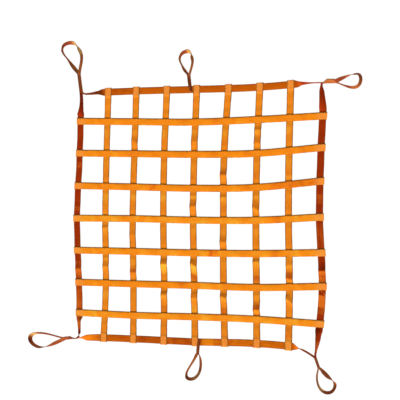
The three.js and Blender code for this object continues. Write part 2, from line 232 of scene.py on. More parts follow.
# %% The webbing section
FACE_POINTS = 9
SELVEDGE_POINTS = 3


def webbing_section():
    """Across and face offsets of a closed outline: a flat face, a half circle, the other face, a half
    circle."""
    radius = WEB_THICK / 2
    flat = HALF_WIDTH - radius
    face = np.linspace(flat, -flat, FACE_POINTS)
    turn = np.linspace(0, math.pi, SELVEDGE_POINTS + 2)[1:-1]
    across = np.concatenate([face, -flat - radius * np.sin(turn), -face, flat + radius * np.sin(turn)])
    height = np.concatenate([
        np.full(FACE_POINTS, radius),
        radius * np.cos(turn),
        np.full(FACE_POINTS, -radius),
        -radius * np.cos(turn),
    ])
    return across, height


SECTION_ACROSS, SECTION_HEIGHT = webbing_section()
print("webbing section of", len(SECTION_ACROSS), "points")

# %% The strip that follows a path
STATION_STEP = 5


def middle_height(lift, roll):
    """Height of the webbing's middle when its lowest edge is at the lift and it is rolled by degrees."""
    angle = np.radians(roll)
    return lift + HALF_WIDTH * np.abs(np.sin(angle)) + WEB_THICK / 2 * np.abs(np.cos(angle))


def sine_cosine(degrees):
    """Sines and cosines of angles in degrees, as columns."""
    angle = np.radians(degrees)[:, None]
    return np.sin(angle), np.cos(angle)


def left_of(vectors):
    """The horizontal left-hand side of vectors, with height 0."""
    return unit(np.stack([-vectors[..., 1], vectors[..., 0], np.zeros(vectors.shape[:-1])], axis=-1))


def path_lengths(points):
    """Length along a path up to each of its points."""
    steps = np.linalg.norm(np.diff(points, axis=0), axis=1)
    return np.concatenate([[0], np.cumsum(steps)])


def add_mesh(name, points, faces, smooth=True):
    """A new object at the origin from points in millimetres and rows of corner numbers."""
    mesh = bpy.data.meshes.new(name)
    mesh.from_pydata((points * MM).tolist(), [], faces)
    mesh.polygons.foreach_set("use_smooth", np.full(len(mesh.polygons), smooth))
    piece = bpy.data.objects.new(name, mesh)
    bpy.context.scene.collection.objects.link(piece)
    return piece


def keep_for_finish(mesh, lengths, sewn, tone):
    """Stores what the finish reads: a UV map of the places across and along, and the sewn and tone masks."""
    place = np.stack(np.broadcast_arrays(SECTION_ACROSS, lengths[:, None]), axis=-1) * MM
    corner_points = np.empty(len(mesh.loops), np.int32)
    mesh.loops.foreach_get("vertex_index", corner_points)
    layer = mesh.uv_layers.new(name="across_along")
    layer.data.foreach_set("uv", place.reshape(-1, 2)[corner_points].ravel())
    for mask, values in (("sewn", sewn[:, None]), ("tone", tone)):
        attribute = mesh.attributes.new(mask, "FLOAT", "POINT")
        attribute.data.foreach_set("value", np.broadcast_to(values, place.shape[:2]).ravel())


def webbing_strip(name, points, left, roll, raised, sewn, tone):
    """The section carried along the points: point + across * offset + face * (height + raised). Across and
    face are the left-hand side and the upper side, turned by the roll. Raised and tone have a row for each
    station. Gives the piece and its cut length."""
    tangent = unit(np.gradient(points, axis=0))
    upper = unit(np.cross(tangent, left))
    sine, cosine = sine_cosine(roll)
    across = left * cosine - upper * sine
    face = upper * cosine + left * sine
    rings = points[:, None] + across[:, None] * SECTION_ACROSS[:, None]
    rings = rings + face[:, None] * (SECTION_HEIGHT + raised)[:, :, None]
    count, corners = rings.shape[:2]
    grid = np.arange(count * corners).reshape(count, corners)
    beside = np.roll(grid, -1, axis=1)
    quads = np.stack([grid[:-1], beside[:-1], beside[1:], grid[1:]], axis=-1).reshape(-1, 4)
    faces = quads.tolist() + [grid[0, ::-1].tolist(), grid[-1].tolist()]
    lengths = path_lengths(points)
    piece = add_mesh("webbing_" + name, rings.reshape(-1, 3), faces)
    keep_for_finish(piece.data, lengths, sewn, tone)
    return piece, lengths[-1]


print("a station every", STATION_STEP, "mm")

# %% [markdown]
# ## Creases and marks
#
# The net was packed before it was laid out, and the webbing remembers it. A crease is a low roof: two
# flanks that meet in a soft crest. The light comes from below the picture, so the flank that faces down the
# picture is bright and the other dark. Each crease is one row under its strap: the travel of the crest, its
# rise, the slant of the crest across the webbing, and how far its flanks reach before and behind it. A cloth
# simulation would settle such marks away. The flank behind the crest is also painted lighter and the one
# before it darker, as painted light and shade. A mark is a stretch of a strap, from one travel to another,
# that is painted lighter or darker than the rest: partly stains and wear, partly painted light and shade.

# %% Creases that packing left
CREST_RADIUS = 5
FLANK_POWER = 1.6
PAINTED_FLANK_SHADING = 0.04


def grouped(columns, **pieces):
    """For each named piece, a table of its rows."""
    return {piece: table(columns, *rows) for piece, rows in pieces.items()}


CREASES = grouped(
    "crest rise slant before behind",
    long_strap_1=[(60, 4, 0, 25, 50), (262, 4, 0, 10, 30), (335, 7, 0, 50, 60)],
    long_strap_2=[(-545, 6, 25, 40, 50), (110, 4, 0, 50, 50), (372, 6, 0, 50, 40)],
    long_strap_3=[(310, 11, 0, 55, 65), (525, 9, 0, 45, 70), (730, 4, 0, 30, 30)],
    long_strap_4=[
        (-535, 6, 0, 60, 60), (-182, 5, 0, 15, 45), (-90, 9, 0, 50, 70), (315, 12, 25, 55, 65),
        (540, 8, 0, 60, 70),
    ],
    long_strap_5=[(-300, 10, 0, 50, 52), (-150, 3, 0, 25, 40), (155, 8, 0, 50, 42), (532, 9, 15, 40, 65)],
    long_strap_6=[
        (-600, 5, 0, 25, 42), (-515, 5, 0, 45, 30), (-185, 4, 0, 12, 55), (-70, 9, 30, 65, 35),
        (270, 9, -20, 25, 75), (482, 4, 0, 10, 65), (610, 10, 0, 60, 40),
    ],
    long_strap_7=[(305, 4, 0, 30, 42), (402, 8, 25, 60, 22), (542, 9, 35, 45, 40)],
    cross_strap_3=[(-318, 8, 0, 60, 50), (735, 9, -15, 50, 50)],
    cross_strap_5=[(138, 7, 0, 60, 50)],
    border_right=[(338, 11, 0, 60, 60)],
    border_left=[(354, 8, 0, 60, 50)],
)


def across_slanted(travel, place, slant):
    """Distance of every point of a strip past a line that crosses it at a travel, slanted by degrees."""
    return travel[:, None] - place - math.tan(math.radians(slant)) * SECTION_ACROSS


def crease_field(name, travel):
    """Rise and painted light and shade of a strap's creases. The rise is a power of (1 - reach share) on
    either side of the crest, which is rounded as sqrt(x^2 + r^2) - r; the tone, painted light behind the
    crest and painted shade before it, has the sign of x and fades with the same share."""
    rise = np.zeros((len(travel), len(SECTION_ACROSS)))
    tone = np.zeros_like(rise)
    for crease in CREASES.get(name, []):
        x = across_slanted(travel, crease.crest, crease.slant)
        distance = np.sqrt(x**2 + CREST_RADIUS**2)
        reach = np.where(x < 0, crease.before, crease.behind)
        share = 1 - np.clip((distance - CREST_RADIUS) / reach, 0, 1)
        rise += crease.rise * share**FLANK_POWER
        # painted light on the flank behind the crest, painted shade on the one before it
        tone += PAINTED_FLANK_SHADING * crease.rise * share * x / distance
    return rise, tone


print(sum(map(len, CREASES.values())), "creases on", len(CREASES), "straps")

# %% Marks of wear and of painted light and shade
MARK_SOFTNESS = 18
# Marks are partly stains and wear, partly painted light and shade: lit flanks of creases, and border ends
# that turn towards or away from the light.
MARKS = grouped(
    "start end tone slant",
    long_strap_2=[(350, 375, -0.4, 0)],
    long_strap_3=[(316, 385, 0.5, 0), (605, 645, -0.4, 0)],
    long_strap_4=[(322, 375, 0.6, 25), (385, 425, -0.5, 25), (590, 645, 0.5, 0)],
    long_strap_5=[(605, 645, -0.5, 0)],
    long_strap_6=[(380, 422, -0.6, 0), (560, 605, -0.2, 0)],
    long_strap_7=[(-292, -268, 0.5, 0), (350, 405, -0.4, 0), (705, 790, -0.5, 0), (797, 870, 0.4, 0)],
    cross_strap_1=[(275, 305, -0.5, 0)],
    cross_strap_2=[(490, 560, -0.35, 0), (-485, -400, -0.3, 0)],
    cross_strap_3=[(-320, -285, -0.6, 20), (500, 880, -0.45, 0)],
    cross_strap_4=[(-415, -370, -0.6, 20), (500, 620, -0.5, 0)],
    cross_strap_5=[(110, 170, -0.7, 25), (550, 600, -0.4, 0)],
    cross_strap_6=[(-150, -80, -0.3, 0), (40, 200, 0.4, 0), (550, 640, 0.4, 0)],
    border_left=[
        (-410, -368, 0.35, 0), (-940, -690, -0.5, 0), (-95, -60, 0.4, 0), (300, 640, 0.5, 0),
        (690, 780, 0.6, 0), (790, 870, -0.6, 0),
    ],
    border_right=[
        (-165, -95, 0.3, 0), (20, 200, 0.3, 0), (340, 385, 0.6, 0), (385, 440, 0.9, 0),
        (472, 486, 0.8, 40), (488, 498, -0.6, 40), (500, 580, 0.6, 0), (500, 630, 0.5, 0),
        (800, 870, 0.4, 0),
    ],
    border_top=[
        (-900, -700, -0.5, 0), (-700, -400, -0.3, 0), (-400, -220, 0.15, 0), (722, 920, -0.6, 0),
        (770, 920, -0.6, 0),
    ],
    border_bottom=[
        (-900, -690, 0.3, 0), (-660, -470, -0.1, 0), (-440, 0, -0.4, 0), (-190, -160, 0.4, 20),
        (55, 140, 0.7, 0), (140, 660, 0.3, 0), (750, 880, -0.6, 0),
    ],
)


def band(past_start, past_end, softness):
    """1 between two lines and 0 outside, from the distances past them, with an S curve across each line."""
    return ease(past_start / softness + 0.5) - ease(past_end / softness + 0.5)


def mark_field(name, travel):
    """Sum of a strap's marks: each is its tone between two slanted lines."""
    tone = np.zeros((len(travel), len(SECTION_ACROSS)))
    for mark in MARKS.get(name, []):
        past_start = across_slanted(travel, mark.start, mark.slant)
        past_end = across_slanted(travel, mark.end, mark.slant)
        tone += mark.tone * band(past_start, past_end, MARK_SOFTNESS)
    return tone


print(sum(map(len, MARKS.values())), "marks on", len(MARKS), "straps")

# %% [markdown]
# ## Long and cross straps
#
# A strap's end goes round the border's outer edge and is sewn back under itself, so its path is a tail, a
# half circle, the long upper run, and the same again at the other end. The upper run is flat where it is
# sewn and loose between: long straps lie on the floor, and cross straps climb one layer at each crossing
# and sag between. Between sewn places the webbing is a little crowned, because its selvedges are woven
# tighter than its middle, and it rolls by a degree or two. Each cell is painted lighter in its first half
# and darker in its second: on the long straps that is painted light below one crossing and the painted
# shadow of the next cross strap above it.

# %% Levels of a strap
SEWN_HALF = 31
TAIL = 60
TAIL_STATIONS = 20
FOLD_STATIONS = 13
TURN_CLEARANCE = 1.5
STEP_CLEARANCE = 4
STEP_RUN = 16
SOFT_RUN = 45
SAG = 0.7
FREE_RUN = 30


def sewn_stretch(travel):
    """The two travels between which a strap is sewn at a crossing."""
    return travel - SEWN_HALF, travel + SEWN_HALF


def cells_between(places):
    """The free cells between sewn places that follow each other."""
    return [(before[1], behind[0]) for before, behind in zip(places, places[1:])]


def sewn_mask(travel, places):
    """1 inside the sewn places, given as pairs of travels, falling to 0 over the free run beside them."""
    places = np.asarray(places, float)
    outside = np.maximum(places[:, :1] - travel, travel - places[:, 1:])
    return 1 - ease(np.min(np.maximum(outside, 0), axis=0) / FREE_RUN)


def fold_path(border_travel, side):
    """Travel and lift of a sewn-back tail and the half circle round the border's edge: side -1 is the end
    with low travel. The circle's middle line has the radius of one layer."""
    turn = border_travel + side * (HALF_WIDTH + TURN_CLEARANCE)
    tail_end = border_travel - side * (HALF_WIDTH + TAIL)
    tail = np.linspace(tail_end, turn, TAIL_STATIONS, endpoint=False)
    angle = np.linspace(0, math.pi, FOLD_STATIONS)
    travel = np.concatenate([tail, turn + side * LAYER * np.sin(angle)])
    lift = np.concatenate([np.zeros(len(tail)), LAYER * (1 - np.cos(angle))])
    return travel, lift


def stations(levels):
    """Even travels from the first level to the last, one step or a little more apart."""
    start, end = levels[0][0], levels[-1][0]
    return np.linspace(start, end, int((end - start) / STATION_STEP))


def upper_run_levels(crossings, borders, sewn_lift):
    """Travels and lifts where the upper run is level, its cells and its sewn places: over the border and its
    tail, at each crossing, and once between."""
    levels, sewn = [], []
    for border, side in zip(borders, (1, -1)):
        turn = border - side * (HALF_WIDTH + TURN_CLEARANCE)
        inner = border + side * (HALF_WIDTH + STEP_CLEARANCE)
        tail_end = border + side * (HALF_WIDTH + TAIL + STEP_CLEARANCE)
        rest = tail_end + side * (SOFT_RUN if sewn_lift == 0 else STEP_RUN)
        levels += [(turn, 2 * LAYER), (inner, 2 * LAYER), (inner + side * STEP_RUN, LAYER)]
        levels += [(tail_end, LAYER), (rest, sewn_lift)]
        sewn += [tuple(sorted((turn, rest)))]
    places = [sewn[0], *map(sewn_stretch, crossings), sewn[1]]
    cells = cells_between(places)
    levels += [(travel, sewn_lift) for place in places[1:-1] for travel in place]
    if sewn_lift > 0:
        levels += [((start + end) / 2, SAG) for start, end in cells]
    return sorted(levels), cells, places


print("tails of", TAIL, "mm, sewn", 2 * SEWN_HALF, "mm at each crossing")

# %% The strip of a strap
CROWN = 1.3
CROWN_RISE = CROWN * (1 - (SECTION_ACROSS / HALF_WIDTH) ** 2)
PAINTED_CELL_SHADING = 0.22
ROLL_WAVE = 2.0
ROLL_LENGTH = 47


def painted_cell_shading(travel, cells):
    """A tone that is painted lighter in the first half of each cell and darker in the second, and is 0
    outside.
    """
    start, end = np.array(cells).T[:, :, None]
    share = np.clip((travel - start) / (end - start), 0, 1)
    return PAINTED_CELL_SHADING * np.sum(np.sin(2 * math.pi * share), axis=0)


def strap_strip(row, line, crossings, borders, border_ways, sewn_lift):
    """A whole strap: first fold, upper run and second fold, with its creases, crown and roll."""
    levels, cells, places = upper_run_levels(crossings, borders, sewn_lift)
    run = stations(levels)[1:-1]
    first_travel, first_lift = fold_path(borders[0], -1)
    last_travel, last_lift = fold_path(borders[1], 1)
    travel = np.concatenate([first_travel, run, last_travel[::-1]])
    lift = np.concatenate([first_lift, eased_curve(*zip(*levels), run), last_lift[::-1]])
    upper = np.concatenate([np.zeros(len(first_travel)), np.ones(len(run)), np.zeros(len(last_travel))])
    free = (1 - sewn_mask(travel, places)) * upper
    roll = ROLL_WAVE * free * np.sin(travel / ROLL_LENGTH + row.line)
    left = left_of(direction(line, row, travel))
    for border, border_way in zip(borders, border_ways):
        near = 1 - ease((np.abs(travel - border) - HALF_WIDTH - STEP_CLEARANCE) / STEP_RUN)
        left = unit(left + near[:, None] * (np.append(border_way, 0) - left))
    points = np.column_stack([line(row, travel), middle_height(lift, roll)])
    rise, tone = crease_field(row.name, travel)
    raised = free[:, None] * (CROWN_RISE + rise)
    # the cells' and the creases' tones are painted light and shade on top of the strap's own tone
    tone = row.tone + painted_cell_shading(travel, cells)[:, None] + free[:, None] * tone
    tone = tone + mark_field(row.name, travel)
    joined = sewn_mask(travel, [(border - HALF_WIDTH, border + HALF_WIDTH) for border in borders])
    return webbing_strip(row.name, points, left, roll, raised, joined, tone)


print("straps crowned by", CROWN, "mm and rolled by up to", ROLL_WAVE, "degrees")

# %% Long and cross straps
def dress(piece, node):
    """Puts a strip under the root and hides the node of the frame that it stands for."""
    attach(piece, "root")
    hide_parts(node)


def lay(rows, make):
    pieces = []
    for row in rows:
        piece, length = make(row)
        dress(piece, row.name)
        pieces.append(piece)
        print(piece.name, "cut length", round(length), "mm,", len(piece.data.polygons), "faces")
    return pieces


def long_strap(row):
    """A long strap, from the top border to the bottom border."""
    ends = [BORDERS["top"], BORDERS["bottom"]]
    crossings = [crossing(row, other)[0] for other in CROSS_STRAPS]
    meets = [crossing(row, border) for border in ends]
    ways = [direction(cross_line, border, meet[1]) for border, meet in zip(ends, meets)]
    return strap_strip(row, long_line, crossings, [meet[0] for meet in meets], ways, 0)


def cross_strap(row):
    """A cross strap, from the left border to the right border, one layer up at each crossing."""
    ends = [BORDERS["left"], BORDERS["right"]]
    crossings = [crossing(other, row)[1] for other in LONG_STRAPS]
    meets = [crossing(border, row) for border in ends]
    ways = [-direction(long_line, border, meet[0]) for border, meet in zip(ends, meets)]
    return strap_strip(row, cross_line, crossings, [meet[1] for meet in meets], ways, LAYER)


long_pieces = lay(LONG_STRAPS, long_strap)
cross_pieces = lay(CROSS_STRAPS, cross_strap)

# %% [markdown]
# ## Lifting eyes
#
# An eye is webbing that stands on its edge: two legs sewn face to face, then a teardrop. Its outline is a
# formula, so nothing is traced: with an angle that runs once round, the length goes as sin^2 of half the
# angle and the width as sin of the angle times a power of sin of its half. The crown sways to one side.
# Stiff webbing left standing leans: each row gives the tilt of the sewn legs to the left, in degrees, and
# the lean out of upright at each twelfth of a turn, from the left leg round the crown to the right leg.

# %% Eyes
EYES = table(
    "name x y heading stem length width power sway tilt lean",
    ("eye_top_left", -860, 922, 98, 116, 230, 136, 2, 68, 0,
     [10, 16, -3, -6, -13, 11, 27, -7, 3, 5, 4]),
    ("eye_top_right", 912, 894, -1.5, 84, 176, 100, 2, 20, 26,
     [20, 18, 0, -20, -16, -12, -10, -15, -14, -8, -12]),
    ("eye_bottom_right", 865, -912, 290, 66, 166, 94, 0.9, 10, 0,
     [-3, -16, -8, 36, 30, 20, 8, 0, -3, -2, -3]),
    ("eye_bottom_left", -897, -852, 189, 97, 276, 92, 1.3, -36, -25,
     [-22, -24, -8, 8, 5, 6, 16, 20, 24, 24, 24]),
    ("eye_top_middle", -12, 874, 99, 112, 162, 94, 1.8, 8, 4,
     [4, 9, -3, -5, -4, 14, 28, -4, 4, 6, 4]),
    ("eye_bottom_middle", 48, -818, 262, 98, 182, 68, 2, -42, 0,
     [26, 38, 40, 36, 28, 12, -3, -2, 0, 4, 6]),
)
LEG_OFFSET = LAYER / 2
ON_EDGE = 90
TILT_FROM = 0.1
TILT_BY = 0.4
LEGS_APART_BY = 0.25
MIDDLE_EYE_LANDING = 100


def along(heading):
    """Horizontal unit vector at a heading in degrees from +X."""
    angle = math.radians(heading)
    return np.array([math.cos(angle), math.sin(angle), 0.0])


def foot_of(row):
    """The point on the floor where an eye's stem starts."""
    return np.array([row.x, row.y, 0])


def stem_tilt(row, forward):
    """Tilt of the sewn legs: none near the foot of the stem, all of it on the outer part."""
    return row.tilt * ease((forward / row.stem - TILT_FROM) / (TILT_BY - TILT_FROM))


def eye_lift(row, forward, side):
    """How far the lower edge is off the floor. A middle eye stands on the border and comes down past it.
    Where the legs tilt, one of them (side 1 left, side -1 right) lies on the other until they part."""
    past_border = WEB_WIDTH + STEP_CLEARANCE
    landing = ease((forward - past_border) / (MIDDLE_EYE_LANDING - past_border))
    lift = 2 * LAYER * (1 - landing) if "middle" in row.name else 0
    apart = ease((forward - row.stem) / (LEGS_APART_BY * row.length))
    tilt = np.radians(stem_tilt(row, forward)) * (1 - apart)
    return lift + LAYER * np.maximum(-side * np.tan(tilt / 2), 0)


print(len(EYES), "eyes, the largest tilt", max(abs(row.tilt) for row in EYES), "degrees")

# %% Wear and painted light and shade round the eyes
EYE_MARK_SOFTNESS = 24
# Eye marks are partly wear and partly painted light and shade on the loops' faces that lean towards or away
# from the light.
EYE_MARKS = grouped(
    "start end tone",
    eye_top_left=[(10, 70, 0.3), (150, 200, -0.7), (205, 260, 0.9), (360, 450, -0.15)],
    eye_top_middle=[(10, 60, 0.2), (75, 130, 0.4), (135, 190, -0.6), (195, 228, 1.0), (350, 450, -0.6)],
    eye_top_right=[(15, 85, -0.8), (140, 212, -0.5), (215, 250, -0.1), (255, 350, -0.8), (372, 440, 0.2)],
    eye_bottom_left=[(-90, 0, -1.2), (10, 110, -0.5), (160, 200, -0.6), (205, 235, 0.9), (240, 350, -0.9)],
    eye_bottom_right=[(40, 105, -0.15), (165, 205, -0.4), (215, 250, 0.9), (255, 340, 0.4)],
    eye_bottom_middle=[(-90, 10, -0.5), (112, 158, 0.8), (180, 212, -0.6)],
)


def eye_tone(name, turn):
    """Sum of an eye's marks: each is its tone between two turns in degrees. The left leg has turns below 0
    and the right leg turns above 360."""
    tone = np.zeros(len(turn))
    for mark in EYE_MARKS.get(name, []):
        tone += mark.tone * band(turn - mark.start, turn - mark.end, EYE_MARK_SOFTNESS)
    return tone


print(sum(map(len, EYE_MARKS.values())), "marks on", len(EYE_MARKS), "eyes")

# %% Strips of the eyes
LOOP_STATIONS = 140
LEAN_STEPS = 12
LEG_DEGREES = 90
THROAT_REACH = 20


def eye_plan(row, legs, angle):
    """Forward and sideways distances from the foot, up the left leg, clockwise round the teardrop and down
    the right leg. The width is scaled by its largest value, at the angle where cos(half) is
    1 / sqrt(power + 2)."""
    share = np.sin(angle / 2) ** 2
    outline = np.sin(angle) * np.sin(angle / 2) ** row.power
    widest = 2 * math.acos(1 / math.sqrt(row.power + 2))
    half_width = row.width / 2 / (math.sin(widest) * math.sin(widest / 2) ** row.power)
    loop = half_width * outline + row.sway * share**2 + LEG_OFFSET * np.cos(angle / 2)
    forward = np.concatenate([legs, row.stem + row.length * share, legs[::-1]])
    sideways = np.concatenate([np.full(len(legs), LEG_OFFSET), loop, np.full(len(legs), -LEG_OFFSET)])
    return forward, sideways


def eye_strip(row):
    """The lower edge follows the plan, and the middle stands above it, moved out by half the webbing's width
    times sin(lean)."""
    heading = along(row.heading)
    legs = np.arange(0, row.stem, STATION_STEP)
    angle = np.linspace(0, 2 * math.pi, LOOP_STATIONS)
    forward, sideways = eye_plan(row, legs, angle)
    lean_places = np.linspace(0, 2 * math.pi, LEAN_STEPS + 1)
    lean_round = smooth_curve(lean_places, [row.tilt, *row.lean, -row.tilt], angle)
    tilt = stem_tilt(row, legs)
    lean = np.concatenate([tilt, lean_round, -tilt[::-1]])
    edge = foot_of(row) + forward[:, None] * heading + sideways[:, None] * left_of(heading)
    outward = left_of(np.gradient(edge, axis=0))
    edge = edge + (HALF_WIDTH * np.sin(np.radians(lean)))[:, None] * outward
    side = np.where(np.arange(len(forward)) < len(forward) / 2, 1, -1)
    roll = ON_EDGE + lean
    points = np.column_stack([edge[:, :2], middle_height(eye_lift(row, forward, side), roll)])
    sewn = 1 - ease(np.abs(forward - row.stem) / (THROAT_REACH + abs(row.tilt)))
    leg_turn = LEG_DEGREES * (1 - legs / row.stem)
    turn = np.concatenate([-leg_turn, np.degrees(angle), 360 + leg_turn[::-1]])
    tone = np.repeat(eye_tone(row.name, turn)[:, None], len(SECTION_ACROSS), axis=1)
    return webbing_strip(row.name, points, outward, roll, np.zeros_like(tone), sewn, tone)


eye_pieces = lay(EYES, eye_strip)

# %% [markdown]
# ## Border
#
# The border is the strap that carries the load: flat through the turned-round strap ends, and at each
# corner turned onto its edge to go on as one leg of the eye. The turn is a Bezier curve from the flat run
# to the eye's stem, along which the roll grows to 90 degrees. Each end is a row: which edge comes up, the
# roll at each fifth of the turn, and how far the curve keeps to the border's line, swings off it, and keeps
# to the stem.

# %% Border ends that turn onto their edge
INNER_UP = 1
OUTER_UP = -1
ON_EDGE_BY = 0.9
CURVE_POINTS = 400
TURN_STATIONS = 40
BORDER_ENDS = table(
    "side end up roll lead swing follow",
    ("top", "start", INNER_UP, [46, 56, 64, 71, 90], 75, 0, 50),
    ("top", "end", OUTER_UP, [58, 76, 86, 90, 90], 60, 0, 40),
    ("right", "start", INNER_UP, [26, 45, 56, 66, 90], 90, 0, 14),
    ("right", "end", INNER_UP, [48, 60, 73, 86, 90], 120, 12, 30),
    ("bottom", "start", INNER_UP, [56, 85, 90, 90, 90], 30, 16, 8),
    ("bottom", "end", INNER_UP, [12, 18, 30, 64, 90], 60, 0, 40),
    ("left", "start", INNER_UP, [31, 37, 42, 46, 90], 60, 0, 36),
    ("left", "end", OUTER_UP, [62, 80, 87, 90, 90], 60, -24, 40),
)
END_TURNS = {(row.side, row.end): row for row in BORDER_ENDS}


def edge_turn(eye, side, start, way, turn):
    """Points on the floor, lift and roll from the end of a flat run to the foot of an eye: a cubic Bezier
    curve walked at even lengths, with a smooth curve through the rolls, which is on edge a little before the
    foot."""
    heading = along(eye.heading)
    foot = foot_of(eye) + side * LEG_OFFSET * left_of(heading)
    lead = start + turn.lead * way + turn.swing * left_of(way)
    follow = foot - turn.follow * heading
    t = np.linspace(0, 1, CURVE_POINTS)[:, None]
    curve = (1 - t) ** 3 * start + 3 * t * (1 - t) ** 2 * lead + 3 * t**2 * (1 - t) * follow + t**3 * foot
    walked = path_lengths(curve)
    share = np.linspace(0, 1, TURN_STATIONS + 1)[1:]
    points = np.column_stack([np.interp(share * walked[-1], walked, curve[:, axis]) for axis in range(3)])
    places = np.linspace(0, ON_EDGE_BY, len(turn.roll) + 1)
    rolled = np.minimum(smooth_curve(places, [0, *turn.roll], share), ON_EDGE)
    return points, LAYER * (1 - rolled / ON_EDGE), turn.up * rolled


print(len(BORDER_ENDS), "border ends")

# %% Strips of the borders
SEWN_FADE_STATIONS = 8


def flat_run(row, line, sewn_travels):
    """Points on the floor, lift, sewn mask, raised field and tone of a border between its outer strap ends:
    one layer up where it is sewn, on the floor between."""
    places = [sewn_stretch(travel) for travel in sewn_travels]
    levels = [(travel, LAYER) for place in places for travel in place]
    levels = sorted(levels + [((start + end) / 2, 0) for start, end in cells_between(places)])
    run = stations(levels)
    points = np.column_stack([line(row, run), np.zeros(len(run))])
    sewn = sewn_mask(run, places)
    rise, tone = crease_field(row.name, run)
    raised = (1 - sewn)[:, None] * (CROWN_RISE + rise)
    return points, eased_curve(*zip(*levels), run), sewn, raised, tone


def border_strip(course):
    """A border strap clockwise round the net: the turn out of one eye, the flat run, the turn into the
    next. Ways is -1 where clockwise is against the line's own travel."""
    row = BORDERS[course.side]
    run = flat_run(row, course.line, course.meets)
    points, lift, sewn, raised, tone = (values[::course.ways] for values in run)
    back, ahead = unit(points[0] - points[1]), unit(points[-1] - points[-2])
    start = edge_turn(course.first_eye, -1, points[0], back, END_TURNS[course.side, "start"])
    end = edge_turn(course.last_eye, 1, points[-1], ahead, END_TURNS[course.side, "end"])
    flat = (points, lift, np.zeros(len(points)))
    joined = (np.concatenate([before[::-1], here, behind]) for before, here, behind in zip(start, flat, end))
    floor_points, lift, roll = joined
    left = left_of(np.gradient(floor_points, axis=0))
    fade = ease(1 - np.arange(TURN_STATIONS) / SEWN_FADE_STATIONS)
    sewn = np.concatenate([fade[::-1] * sewn[0], sewn, fade * sewn[-1]])
    points = np.column_stack([floor_points[:, :2], middle_height(lift, roll)])
    level = np.zeros((TURN_STATIONS, len(SECTION_ACROSS)))
    raised = np.concatenate([level, raised, level])
    travel = -points[:, 1] if course.line is long_line else points[:, 0]
    tone = row.tone + np.concatenate([level, tone, level]) + mark_field(row.name, travel)
    return webbing_strip(row.name, points, left, roll, raised, sewn, tone)


TOP_LEFT, TOP_RIGHT, BOTTOM_RIGHT, BOTTOM_LEFT = EYES[:4]
meets = {side: [crossing(row, BORDERS[side])[1] for row in LONG_STRAPS] for side in ("top", "bottom")}
meets |= {side: [crossing(BORDERS[side], row)[0] for row in CROSS_STRAPS] for side in ("left", "right")}
COURSES = table(
    "name side line meets first_eye last_eye ways",
    ("border_top", "top", cross_line, meets["top"], TOP_LEFT, TOP_RIGHT, 1),
    ("border_right", "right", long_line, meets["right"], TOP_RIGHT, BOTTOM_RIGHT, 1),
    ("border_bottom", "bottom", cross_line, meets["bottom"], BOTTOM_RIGHT, BOTTOM_LEFT, -1),
    ("border_left", "left", long_line, meets["left"], BOTTOM_LEFT, TOP_LEFT, -1),
)
border_pieces = lay(COURSES, border_strip)

# %% [markdown]
# ## Sewing
#
# Each crossing and each strap end is sewn with a square of thread and a cross in it, the usual way to join
# load webbing. A texture could draw it, but thread stands up from the cloth and catches light, so each
# stitch is a small closed bead: it rises out of the webbing and dips in again. All stitches of a kind are
# one mesh, made from one stitch and an array of places.

# %% One stitch
STITCH_LENGTH = 5.0
STITCH_RINGS = 5
STITCH_CORNERS = 6
STITCH_RISE = 0.5
STITCH_SINK = 0.7
THREAD_RADIUS = 0.8
THREAD_FLATNESS = 0.7
END_SHARE = 0.55
SWELL_SHARE = 0.45


def one_stitch():
    """Rings of points of a stitch along its own x axis: a flattened thread that swells and rises as a sine
    and sinks into the cloth at both ends."""
    t = np.linspace(0, 1, STITCH_RINGS)[:, None]
    turn = np.linspace(0, 2 * math.pi, STITCH_CORNERS, endpoint=False)[None]
    radius = THREAD_RADIUS * (END_SHARE + SWELL_SHARE * np.sin(math.pi * t))
    x = np.broadcast_to((t - 0.5) * STITCH_LENGTH, (STITCH_RINGS, STITCH_CORNERS))
    y = radius * np.cos(turn)
    z = STITCH_RISE * (np.sin(math.pi * t) - STITCH_SINK) + THREAD_FLATNESS * radius * np.sin(turn)
    return np.stack([x, y, z], axis=-1).reshape(-1, 3)


def stitch_faces():
    """Corner rows of one stitch: quads round it and a cap at each end, all facing out."""
    grid = np.arange(STITCH_RINGS * STITCH_CORNERS).reshape(STITCH_RINGS, STITCH_CORNERS)
    beside = np.roll(grid, -1, axis=1)
    quads = np.stack([grid[:-1], grid[1:], beside[1:], beside[:-1]], axis=-1).reshape(-1, 4)
    return quads, np.stack([grid[0], grid[-1, ::-1]])


print("a stitch of", len(one_stitch()), "points")

# %% Seams of stitches
STITCH_PITCH = 6.0
BOX_SIDE = 36


def seam(start, end):
    """Middles and directions of the stitches on a straight seam between two points of a plan."""
    start, end = np.asarray(start, float), np.asarray(end, float)
    length = np.linalg.norm(end - start)
    count = max(int(length / STITCH_PITCH), 1)
    shares = (np.arange(count) + 0.5) / count
    way = np.broadcast_to((end - start) / length, (count, 2))
    return start + shares[:, None] * (end - start), way


def box_seams(width, height):
    """Plan of a sewn box: four sides and two diagonals."""
    x, y = width / 2, height / 2
    corners = [(-x, -y), (x, -y), (x, y), (-x, y)]
    lines = [(corners[k], corners[(k + 1) % 4]) for k in range(4)]
    lines += [(corners[0], corners[2]), (corners[1], corners[3])]
    middles, ways = zip(*(seam(*line) for line in lines))
    return np.concatenate(middles), np.concatenate(ways)


box = box_seams(BOX_SIDE, BOX_SIDE)
print("a sewn box has", len(box[0]), "stitches")

# %% Sewn boxes at the crossings and the strap ends
CROSSING_TOP = LAYER + WEB_THICK
END_TOP = 2 * LAYER + WEB_THICK


def laid_out(places, plan):
    """The plan's stitches at each place, as origins, ways and outward directions. A place is a point and the
    directions of the plan's x and y, as rows or as one array for each stitch."""
    middles, ways = plan
    origin, first, second = (np.stack(values) for values in zip(*places))
    if origin.ndim == 2:
        origin, first, second = (values[:, None] for values in (origin, first, second))
    forward = unit(ways[:, :1] * first + ways[:, 1:] * second)
    outward = unit(np.cross(first, second)) + np.zeros_like(forward)
    origin = origin + middles[:, :1] * first + middles[:, 1:] * second
    return origin, forward, outward


